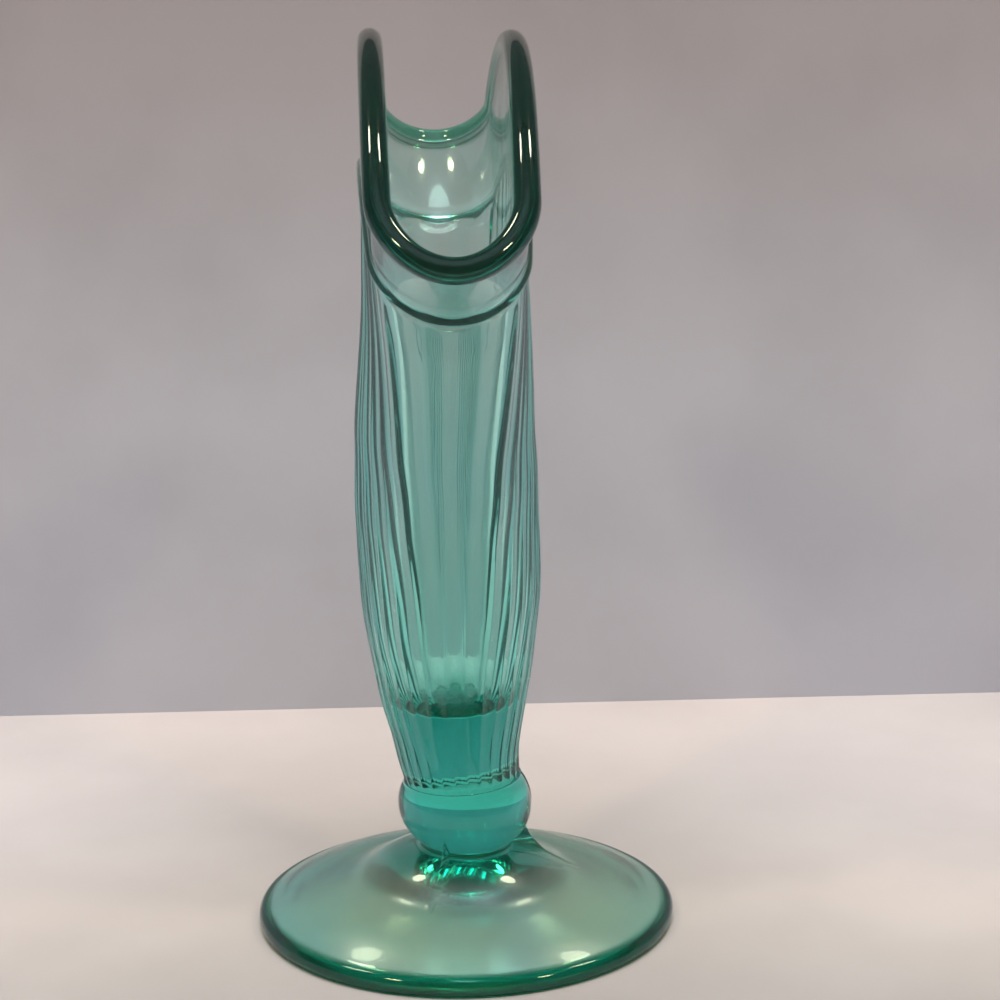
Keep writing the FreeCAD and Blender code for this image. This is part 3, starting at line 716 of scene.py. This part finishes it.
# %% Define the field class
class Field:
    """A shader value that changes over a surface."""

    def __init__(self, tree, socket):
        self.tree, self.socket = tree, socket

    @classmethod
    def made(cls, tree, kind, settings=None, sockets=None, output=0):
        node = tree.nodes.new(kind)
        for name, value in (settings or {}).items():
            if name == "stops":
                for place, (position, colour) in enumerate(value):
                    if place > 1:
                        node.color_ramp.elements.new(position)
                    node.color_ramp.elements[place].position = position
                    node.color_ramp.elements[place].color = (*colour, 1)
            else:
                setattr(node, name, value)
        for name, value in (sockets or {}).items():
            if isinstance(value, Field):
                tree.links.new(value.socket, node.inputs[name])
            else:
                node.inputs[name].default_value = value
        return cls(tree, node.outputs[output])

    @classmethod
    def mixed(cls, tree, share, first, second, blend="MIX"):
        """The first colour, with a share of the second mixed in. A fixed colour is three numbers."""
        first, second = (part if isinstance(part, Field) else (*part, 1.0) for part in (first, second))
        settings = {"data_type": "RGBA", "blend_type": blend}
        return cls.made(tree, "ShaderNodeMix", settings, {0: share, 6: first, 7: second}, output=2)

    def math(self, operation, *values):
        return Field.made(self.tree, "ShaderNodeMath", {"operation": operation}, dict(enumerate(values)))

    def __add__(self, other):
        return self.math("ADD", self, other)

    def __sub__(self, other):
        return self.math("SUBTRACT", self, other)

    def __rsub__(self, other):
        return self.math("SUBTRACT", other, self)

    def __mul__(self, other):
        return self.math("MULTIPLY", self, other)

    def __pow__(self, other):
        return self.math("POWER", self, other)

    __radd__ = __add__
    __rmul__ = __mul__


def new_material(name):
    material = bpy.data.materials.new(name)
    material.use_nodes = True
    material.node_tree.nodes.clear()
    return material, material.node_tree


def finish_material(material, surface, volume=None):
    tree = material.node_tree
    end = tree.nodes.new("ShaderNodeOutputMaterial")
    tree.links.new(surface.socket, end.inputs["Surface"])
    if volume:
        tree.links.new(volume.socket, end.inputs["Volume"])
    return material


print("a field can be added, subtracted, multiplied and raised to a power")

# %% [markdown]
# ## Green glass
#
# Glass isn't painted: its colour comes from how far light travels inside it. Iron and chromium take out
# the red quickly, and the blue and green slowly, so the thin wall is pale and the solid base deep green.
# Volume absorption does exactly this. The numbers are what is lost for each metre, worked out from the
# difference between the thin wall and the base. Where the skin is marked, a darker green is painted on the
# surface. It is partly for the longer way that light bent several times in a round rim takes, and partly
# painted shade, for the dark room that the rim gathers and the shaded table seen through the boss.

# %% Name the numbers of the glass
LOST_PER_METRE = (108.0, 15.0, 21.0)
DENSITY = 200.0
GLASS_IOR = 1.52
CLEAR_TINT = (0.95, 1.0, 0.97)
# Painted darker green: partly thick glass, partly painted shade.
THICK_GLASS_AND_SHADE_GREEN = (0.0, 0.34, 0.16)
kept = [1 - lost / DENSITY for lost in LOST_PER_METRE]
print("glass loses", LOST_PER_METRE, "per metre in red, green and blue")

# %% [markdown]
# The lustre is a film of metal salts a quarter of a thousandth of a millimetre thick. The Principled shader
# has a thin film of its own, which gives pale gold and blue reflections that change with the angle. Under
# the film the glass is slightly frosted, so the foot has a satin sheen. On top of that a painted sheen tints
# the satin glass bluish on the left and golden on the right as the camera sees it, in soft clouds.

# %% Make the lustre's parts
FILM_NANOMETRES = 245.0
FILM_IOR = 1.60
SATIN_ROUGHNESS = 0.26
SATIN_CLEARNESS = 0.88
# Painted darker satin green: partly thick glass, partly painted shade.
THICK_SATIN_AND_SHADE = (0.06, 0.42, 0.26)
# Painted sheen: from blue to gold, left to right as the camera sees it.
PAINTED_SHEEN_STOPS = [(0.38, (0.74, 0.96, 1.0)), (0.60, (0.92, 0.98, 0.80))]
PAINTED_SHEEN_CLOUDS = 28.0
PAINTED_GOLD_TO_THE_RIGHT = 2.2
RIPPLES = 60.0
RIPPLE_STRENGTH = 0.25
RIPPLE_HEIGHT = 0.0004


def noise(tree, place, scale, detail):
    return Field.made(tree, "ShaderNodeTexNoise", sockets={"Vector": place, "Scale": scale, "Detail": detail})


# The painted sheen: a colour ramp over soft clouds, shifted towards gold along y.
def painted_sheen(tree, place):
    across = Field.made(tree, "ShaderNodeSeparateXYZ", sockets={0: place}, output="Y")
    cloud = noise(tree, place, PAINTED_SHEEN_CLOUDS, 3.0) + PAINTED_GOLD_TO_THE_RIGHT * across
    return Field.made(tree, "ShaderNodeValToRGB", {"stops": PAINTED_SHEEN_STOPS}, {"Fac": cloud})


def film(tree, place):
    """The sockets that the clear and the satin glass share: the film and the faint ripples."""
    heights = {"Height": noise(tree, place, RIPPLES, 1.0), "Strength": RIPPLE_STRENGTH}
    ripple = Field.made(tree, "ShaderNodeBump", sockets={**heights, "Distance": RIPPLE_HEIGHT})
    return {
        "Normal": ripple,
        "IOR": GLASS_IOR,
        "Thin Film Thickness": FILM_NANOMETRES,
        "Thin Film IOR": FILM_IOR,
    }


print("the film is", FILM_NANOMETRES, "nanometres thick")

# %% [markdown]
# Two glasses are mixed by the lustre's share: a clear one, smudged here and there by fingers, and the satin
# one. Seen from inside the glass, only half of the satin counts. Light would otherwise turn milky after a
# few crossings, and with none at all the rim would trap it and go black.

# %% Make the glass
SMUDGES = 90.0
SMUDGE_POWER = 4.0
CLEAR_ROUGHNESS = 0.01
SMUDGE_ROUGHNESS = 0.05
LOST_FROM_INSIDE = 0.5


def green_glass():
    material, tree = new_material("green_lustre_glass")
    place = Field.made(tree, "ShaderNodeTexCoord", output="Object")
    shared = film(tree, place)
    smudge = noise(tree, place, SMUDGES, 4.0)
    # The marked skin's painted darker green, partly thick glass and partly painted shade.
    thickness_and_shade = Field.made(tree, "ShaderNodeAttribute", {"attribute_name": "thickness_and_shade"}, output="Fac")
    clear = Field.made(tree, "ShaderNodeBsdfPrincipled", sockets={
        **shared,
        "Base Color": Field.mixed(tree, thickness_and_shade, CLEAR_TINT, THICK_GLASS_AND_SHADE_GREEN),
        "Roughness": CLEAR_ROUGHNESS + SMUDGE_ROUGHNESS * smudge ** SMUDGE_POWER,
        "Transmission Weight": 1.0,
    })
    satin = Field.made(tree, "ShaderNodeBsdfPrincipled", sockets={
        **shared,
        # The satin's colour is a painted sheen, with the painted darker green of thick glass and shade mixed
        # in.
        "Base Color": Field.mixed(tree, thickness_and_shade, painted_sheen(tree, place), THICK_SATIN_AND_SHADE),
        "Roughness": SATIN_ROUGHNESS,
        "Transmission Weight": SATIN_CLEARNESS,
    })
    lustre = Field.made(tree, "ShaderNodeAttribute", {"attribute_name": "lustre"}, output="Fac")
    from_inside = Field.made(tree, "ShaderNodeNewGeometry", output="Backfacing")
    amount = lustre * (1 - LOST_FROM_INSIDE * from_inside)
    surface = Field.made(tree, "ShaderNodeMixShader", sockets={0: amount, 1: clear, 2: satin})
    absorbing = {"Color": (*kept, 1.0), "Density": DENSITY}
    volume = Field.made(tree, "ShaderNodeVolumeAbsorption", sockets=absorbing)
    return finish_material(material, surface, volume)


mesh.materials.append(green_glass())
print("glass keeps", [round(share, 3) for share in kept], "at a density of", DENSITY)

# %% [markdown]
# ## The table and the wall
#
# Clear glass shows what is behind it, so the surroundings are half of its look. The table is a plain pale
# plane. The wall stands close behind the vase and has only a front: seen from behind it is transparent, so
# that the vase can be looked at from every side. It is low, and the darker room above it is what the round
# rim gathers, which makes the rim dark. The soft light stands nearer to the camera than the room's light
# did, so painted shade makes the table's paper darker in front, and the wall's browner and darker towards
# its top.

# %% Name the sizes and colours of the papers
TABLE_SIZE = 3.0
TABLE_TOP = -0.00005
WALL_DISTANCE = 0.1447
WALL_TURN = math.tan(math.radians(1.29))
WALL_HEIGHT = 0.24
TABLE_COLOUR = (0.65, 0.59, 0.575)
# Painted shade: the table's paper darkens to this colour towards the camera.
TABLE_PAINTED_SHADE_COLOUR = (0.27, 0.28, 0.28)
TABLE_SHADE_SPAN = (-0.10, 0.18)
WALL_COLOUR = (0.62, 0.615, 0.675)
# Painted shade: the wall's paper turns browner and darker to this colour towards its top.
WALL_PAINTED_SHADE_COLOUR = (0.47, 0.42, 0.43)
WALL_SHADE_SPAN = (0.06, 0.23)
MOTTLE_STOPS = [(0.40, (0.93, 0.93, 0.93)), (0.58, (1.0, 1.0, 1.0))]
MOTTLE_SCALE = 14.0
MOTTLE_DETAIL = 9.0
PAPER_ROUGHNESS = 0.6
print("the wall stands", WALL_DISTANCE, "m behind the vase")


# %% Make a paper
def paper(name, colour, shade_colour, axis, span, one_sided):
    """A dull paper with painted shade: its colour fades along an axis to the shade colour, between the two
    places of the span.
    """
    material, tree = new_material(name)
    place = Field.made(tree, "ShaderNodeTexCoord", output="Object")
    along = Field.made(tree, "ShaderNodeSeparateXYZ", sockets={0: place}, output=axis)
    shade_share = Field.made(
        tree,
        "ShaderNodeMapRange",
        {"interpolation_type": "SMOOTHSTEP"},
        {"Value": along, "From Min": span[0], "From Max": span[1]},
    )
    # Painted shade: the colour fades to the shade colour along the axis.
    shaded = Field.mixed(tree, shade_share, colour, shade_colour)
    mottle = noise(tree, place, MOTTLE_SCALE, MOTTLE_DETAIL)
    marks = Field.made(tree, "ShaderNodeValToRGB", {"stops": MOTTLE_STOPS}, {"Fac": mottle})
    shade = Field.mixed(tree, 1.0, shaded, marks, "MULTIPLY")
    dull = {"Color": shade, "Roughness": PAPER_ROUGHNESS}
    surface = Field.made(tree, "ShaderNodeBsdfDiffuse", sockets=dull)
    if one_sided:
        back = Field.made(tree, "ShaderNodeNewGeometry", output="Backfacing")
        clear = Field.made(tree, "ShaderNodeBsdfTransparent")
        surface = Field.made(tree, "ShaderNodeMixShader", sockets={0: back, 1: surface, 2: clear})
    return finish_material(material, surface)


# %% Stand the wall on the table
def plane(name, corners):
    surface = bpy.data.meshes.new(name)
    surface.from_pydata(corners, [], [(0, 1, 2, 3)])
    thing = bpy.data.objects.new(name, surface)
    bpy.context.scene.collection.objects.link(thing)
    return thing


half = TABLE_SIZE / 2
table = plane("table", [(-half, -half, TABLE_TOP), (half, -half, TABLE_TOP),
                        (half, half, TABLE_TOP), (-half, half, TABLE_TOP)])
table.data.materials.append(paper("pale_table", TABLE_COLOUR, TABLE_PAINTED_SHADE_COLOUR, "X", TABLE_SHADE_SPAN, False))
left_x, right_x = (side * half * WALL_TURN - WALL_DISTANCE for side in (-1, 1))
wall = plane("wall", [(left_x, -half, TABLE_TOP), (right_x, half, TABLE_TOP),
                      (right_x, half, WALL_HEIGHT), (left_x, -half, WALL_HEIGHT)])
wall.data.materials.append(paper("pale_wall", WALL_COLOUR, WALL_PAINTED_SHADE_COLOUR, "Z", WALL_SHADE_SPAN, True))
print("wall faces", tuple(round(part) for part in wall.data.polygons[0].normal))

# %% [markdown]
# ## Light
#
# A room's light is mostly soft. A broad pale panel overhead gives it, and is kept out of mirror
# reflections, because its round shape would show in them as a white patch that the room's ceiling doesn't
# make. Four small warm lamps, two on each side, put the pairs of sparks on the foot and the long golden
# streaks on the rim.

# %% Define a lamp
LAMP_AIM = (0, 0, 0.1)


def lamp(name, place, size, watts, colour):
    light = bpy.data.lights.new(name, "AREA")
    light.shape = "DISK"
    light.size = size
    light.energy = watts
    light.color = colour
    thing = bpy.data.objects.new(name, light)
    thing.location = place
    aim = Vector(LAMP_AIM) - Vector(place)
    thing.rotation_mode = "QUATERNION"
    thing.rotation_quaternion = aim.to_track_quat("-Z", "Y")
    bpy.context.scene.collection.objects.link(thing)
    return thing


print("every lamp looks at", LAMP_AIM)

# %% [markdown]
# Each lamp has degrees round the vase, starting at the photo's side, degrees up, a width and its watts.

# %% Place the lamps
LAMPS = [
    ("left_lamp", -52, 50, 0.20, 4.0),
    ("right_lamp", 52, 50, 0.20, 4.0),
    ("left_back_lamp", -142, 58, 0.22, 3.2),
    ("right_back_lamp", 138, 56, 0.22, 3.2),
]
LAMP_REACH = 1.7
LAMP_COLOUR = (1.0, 0.78, 0.50)
PANEL_PLACE = (0.35, 0.0, 1.6)
PANEL_SIZE = 1.4
PANEL_WATTS = 32.0
PANEL_COLOUR = (0.99, 0.99, 1.0)
for name, around_degrees, rise_degrees, size, watts in LAMPS:
    around, rise = math.radians(around_degrees), math.radians(rise_degrees)
    level = LAMP_REACH * math.cos(rise)
    spot = (level * math.cos(around), level * math.sin(around), LAMP_REACH * math.sin(rise))
    lamp(name, spot, size, watts, LAMP_COLOUR)
soft_panel = lamp("soft_panel", PANEL_PLACE, PANEL_SIZE, PANEL_WATTS, PANEL_COLOUR)
soft_panel.visible_glossy = False
print(len(LAMPS), "lamps and a panel")

# %% [markdown]
# The world is the rest of the room. It lights the vase only a little, because a bright room all round would
# wash out the rim. Where the camera looks past the wall, it sees the same pale grey at more strength.

# %% Set the world
ROOM_STRENGTH = 0.09
BACKDROP_STRENGTH = 0.7
ROOM_COLOUR = (0.95, 0.94, 0.94, 1.0)
world = bpy.data.worlds.new("room")
world.use_nodes = True
background = world.node_tree.nodes["Background"]
seen = Field.made(world.node_tree, "ShaderNodeLightPath", output="Is Camera Ray")
strength = ROOM_STRENGTH + (BACKDROP_STRENGTH - ROOM_STRENGTH) * seen
world.node_tree.links.new(strength.socket, background.inputs["Strength"])
background.inputs["Color"].default_value = ROOM_COLOUR
bpy.context.scene.world = world
bpy.context.scene.view_settings.view_transform = "Standard"
print("the room shines at", ROOM_STRENGTH)

# %% [markdown]
# ## The camera
#
# The photograph looks at one tip of the fan, from a little above. The camera's place and turns were found
# by fitting the round foot, the knop, the raised line, the rim and the table's far edge.

# %% Place the camera
CAMERA_PLACE = (0.6495, -0.01694, 0.27101)
PITCH_DEGREES = 15.101
YAW_DEGREES = -2.303
ROLL_DEGREES = -1.046
FOCAL_PIXELS = 3126.3
IMAGE_PIXELS = 1000
SENSOR_MM = 36.0
pitch, yaw, roll = (math.radians(angle) for angle in (PITCH_DEGREES, YAW_DEGREES, ROLL_DEGREES))
forward = Vector((-math.cos(pitch) * math.cos(yaw), -math.cos(pitch) * math.sin(yaw), -math.sin(pitch)))
level_right = forward.cross(Vector((0, 0, 1))).normalized()
level_up = level_right.cross(forward)
right = math.cos(roll) * level_right + math.sin(roll) * level_up
up = -math.sin(roll) * level_right + math.cos(roll) * level_up
camera_data = bpy.data.cameras.new("camera")
camera_data.sensor_width = SENSOR_MM
camera_data.lens = FOCAL_PIXELS / IMAGE_PIXELS * SENSOR_MM
camera = bpy.data.objects.new("camera", camera_data)
turning = Matrix((right, up, -forward)).transposed()
camera.matrix_world = Matrix.Translation(CAMERA_PLACE) @ turning.to_4x4()
bpy.context.scene.collection.objects.link(camera)
bpy.context.scene.camera = camera
print("lens %.1f mm" % camera_data.lens)
